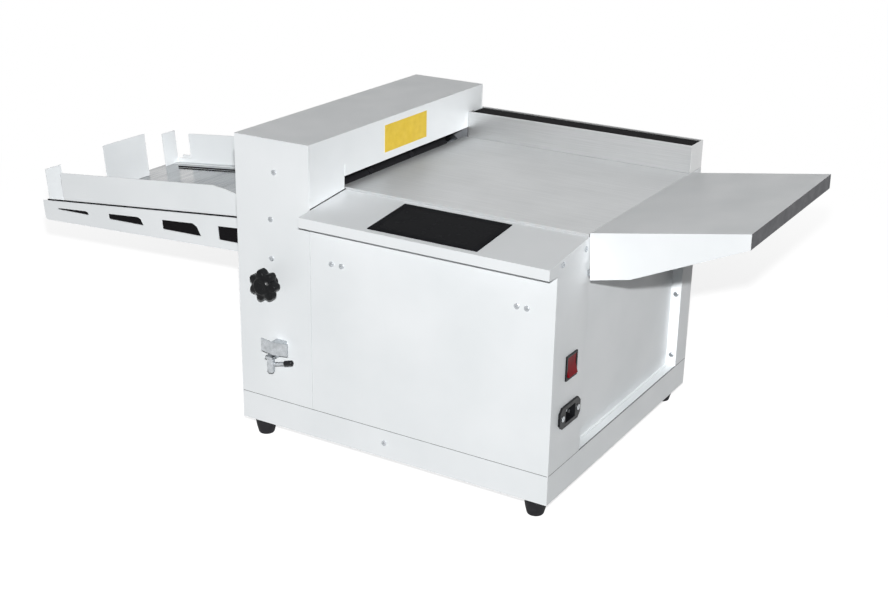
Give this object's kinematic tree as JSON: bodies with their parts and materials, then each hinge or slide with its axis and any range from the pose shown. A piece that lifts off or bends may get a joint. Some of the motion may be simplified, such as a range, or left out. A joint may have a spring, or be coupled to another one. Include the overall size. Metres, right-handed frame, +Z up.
{
  "type": "desktop paper creasing machine",
  "caption": "Desktop paper creasing machine with a hinged hood over the creasing unit, a sloping control deck, a feed table with a folding extension and a delivery tray with sliding guides.",
  "frame": {"origin": "on the standing surface, below the middle of the whole machine's box", "axes": "+X along the paper path towards the infeed extension, +Y away from the operator, +Z up"},
  "size_m": [1.0645, 0.4514, 0.407],
  "materials": {
    "white_paint": "satin",
    "brushed_steel": "brushed",
    "bright_steel": "satin",
    "black_plastic": "matte",
    "screen_black": "gloss",
    "black_rubber": "matte",
    "cast_grey": "satin",
    "switch_red": "gloss",
    "sign_yellow": "satin",
    "board_green": "satin"
  },
  "bodies": {
    "body": {"base_tray": "white_paint", "feet": "black_rubber", "front_cover": "white_paint", "tower_front_cover": "white_paint", "side_strip": "white_paint", "recess_panel": "white_paint", "rear_column": "white_paint", "rear_cover": "white_paint", "left_cover": "white_paint", "exit_cover": "white_paint", "hinge_pins": "bright_steel", "control_deck": "white_paint", "touch_panel": "screen_black", "feed_table": "brushed_steel", "table_posts": "cast_grey", "table_beams": "cast_grey", "side_fence": "brushed_steel", "fence_liner": "black_plastic", "extension_brackets": "bright_steel", "side_plate_front": "cast_grey", "side_plate_rear": "cast_grey", "tie_bars": "bright_steel", "bearings": "bright_steel", "crease_anvil": "bright_steel", "return_springs": "bright_steel", "crease_motor": "cast_grey", "feed_motor": "cast_grey", "drive_belts": "black_rubber", "control_board": "board_green", "power_supply": "brushed_steel", "lever_bracket": "bright_steel", "switch_bezel": "black_plastic", "mains_inlet": "black_plastic", "screws": "bright_steel", "tray_brackets": "white_paint"},
    "hood": {"hood": "white_paint", "yellow_plate": "sign_yellow"},
    "extension": {"infeed_extension": "white_paint"},
    "feed_roller_lower": {"feed_shaft_lower": "bright_steel", "feed_rubber_lower": "black_rubber"},
    "feed_roller_upper": {"feed_shaft_upper": "bright_steel", "feed_rubber_upper": "black_rubber"},
    "exit_roller_lower": {"exit_shaft_lower": "bright_steel", "exit_rubber_lower": "black_rubber"},
    "exit_roller_upper": {"exit_shaft_upper": "bright_steel", "exit_rubber_upper": "black_rubber"},
    "drive_pulley": {"motor_pulley": "bright_steel"},
    "crank": {"crank_shaft": "bright_steel"},
    "pinion": {"crank_pinion": "bright_steel"},
    "beam": {"crease_beam": "cast_grey", "crease_blade": "bright_steel"},
    "knob": {"star_knob": "black_plastic"},
    "lever": {"clamp_lever": "bright_steel", "lever_grip": "black_plastic"},
    "rocker": {"switch_rocker": "switch_red"},
    "tray": {"tray_rails": "white_paint", "tray_bed": "brushed_steel"},
    "front_guide": {"side_guide_front": "white_paint"},
    "rear_guide": {"side_guide_rear": "white_paint"},
    "stop": {"end_stop": "white_paint"}
  },
  "joints": [
    {"name": "hood_hinge", "type": "hinge", "parent": "body", "child": "hood", "pos_m": [-0.10225, 0, 0.362], "axis": [0, -1, 0], "range_deg": [0, 75]},
    {"name": "extension_hinge", "type": "hinge", "parent": "body", "child": "extension", "pos_m": [0.35346, 0, 0.33734], "axis": [0, -1, 0], "range_deg": [0, 75]},
    {"name": "feed_lower_spin", "type": "hinge", "parent": "body", "child": "feed_roller_lower", "pos_m": [-0.02325, 0, 0.3252], "axis": [0, 1, 0], "continuous": true},
    {"name": "feed_upper_spin", "type": "hinge", "parent": "body", "child": "feed_roller_upper", "pos_m": [-0.02325, 0, 0.3516], "axis": [0, 1, 0], "continuous": true},
    {"name": "exit_lower_spin", "type": "hinge", "parent": "body", "child": "exit_roller_lower", "pos_m": [-0.07725, 0, 0.3252], "axis": [0, 1, 0], "continuous": true},
    {"name": "exit_upper_spin", "type": "hinge", "parent": "body", "child": "exit_roller_upper", "pos_m": [-0.07725, 0, 0.3516], "axis": [0, 1, 0], "continuous": true},
    {"name": "drive_spin", "type": "hinge", "parent": "body", "child": "drive_pulley", "pos_m": [-0.02325, 0, 0.196], "axis": [0, 1, 0], "continuous": true},
    {"name": "crank_turn", "type": "hinge", "parent": "body", "child": "crank", "pos_m": [-0.05025, 0, 0.294], "axis": [0, 1, 0], "range_deg": [0, 181]},
    {"name": "pinion_turn", "type": "hinge", "parent": "body", "child": "pinion", "pos_m": [-0.02197, 0, 0.26572], "axis": [0, 1, 0], "range_deg": [-543, 0]},
    {"name": "beam_slide", "type": "slide", "parent": "body", "child": "beam", "axis": [0, 0, 1], "range_m": [-0.004, 0], "stiffness_N_per_m": 4000, "springref_m": 0.006, "deforming": ["return_springs"]},
    {"name": "knob_turn", "type": "hinge", "parent": "body", "child": "knob", "pos_m": [-0.04925, 0, 0.226], "axis": [0, 1, 0], "continuous": true},
    {"name": "lever_turn", "type": "hinge", "parent": "body", "child": "lever", "pos_m": [-0.04525, -0.2117, 0.118], "axis": [0, 0, -1], "range_deg": [0, 70]},
    {"name": "switch_rock", "type": "hinge", "parent": "body", "child": "rocker", "pos_m": [0.33975, -0.1497, 0.187], "axis": [0, 1, 0], "range_deg": [0, 14]},
    {"name": "tray_hinge", "type": "hinge", "parent": "body", "child": "tray", "pos_m": [-0.1124, 0, 0.26223], "axis": [0, 1, 0], "range_deg": [0, 50]},
    {"name": "front_guide_slide", "type": "slide", "parent": "tray", "child": "front_guide", "axis": [0, 1, 0], "range_m": [0, 0.085]},
    {"name": "rear_guide_slide", "type": "slide", "parent": "tray", "child": "rear_guide", "axis": [0, 1, 0], "range_m": [-0.075, 0.02]},
    {"name": "stop_slide", "type": "slide", "parent": "tray", "child": "stop", "axis": [0.9949, 0, 0.1011], "range_m": [0, 0.15]}
  ],
  "couplings": [
    {"joint": "feed_upper_spin", "follows": "feed_lower_spin", "ratio": -1},
    {"joint": "exit_lower_spin", "follows": "feed_lower_spin", "ratio": 1},
    {"joint": "exit_upper_spin", "follows": "feed_lower_spin", "ratio": -1},
    {"joint": "drive_spin", "follows": "feed_lower_spin", "ratio": 1},
    {"joint": "crank_turn", "follows": "beam_slide", "rad_per_m": -785.4},
    {"joint": "pinion_turn", "follows": "beam_slide", "rad_per_m": 2356.2}
  ]
}
